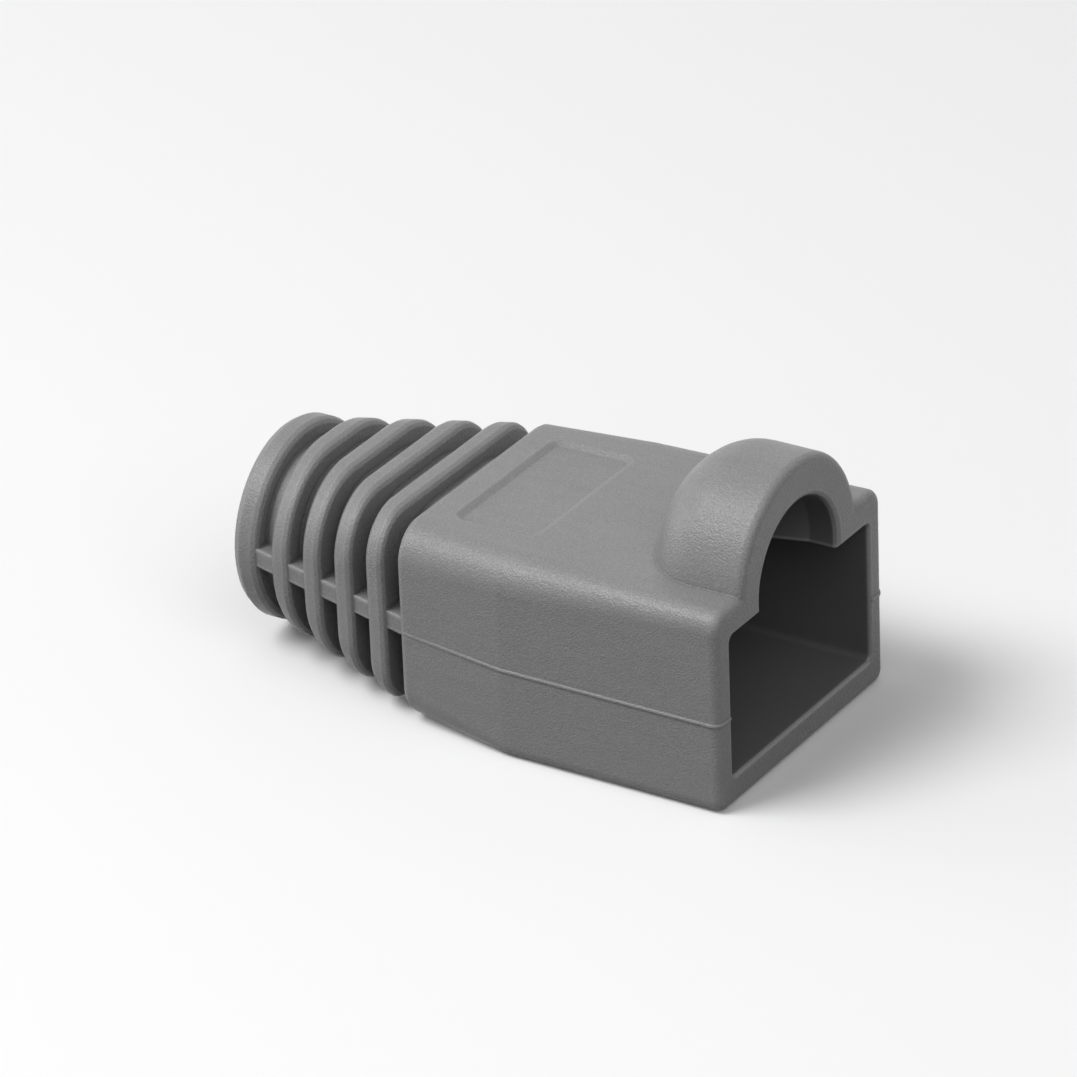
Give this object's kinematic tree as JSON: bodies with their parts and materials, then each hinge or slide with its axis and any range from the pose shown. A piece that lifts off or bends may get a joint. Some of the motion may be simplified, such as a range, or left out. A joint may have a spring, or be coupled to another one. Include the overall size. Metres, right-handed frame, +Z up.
{
  "type": "rj45 strain relief boot",
  "caption": "Slip-on strain relief boot for a network plug: rectangular plug mouth with a domed latch hood, tapered waist and ribbed round tail around the cable bore.",
  "frame": {"origin": "centre of the cable bore at the cable-end face of the ring", "axes": "+X along the cable bore towards the plug mouth, +Z up through the latch hood, Y across the width; the part lies on its flat underside"},
  "size_m": [0.0265, 0.0142, 0.0137],
  "materials": {
    "boot": "matte mid-grey soft moulded plastic with a fine spark-eroded texture"
  },
  "bodies": {
    "root": {"boot": "boot"}
  },
  "joints": []
}
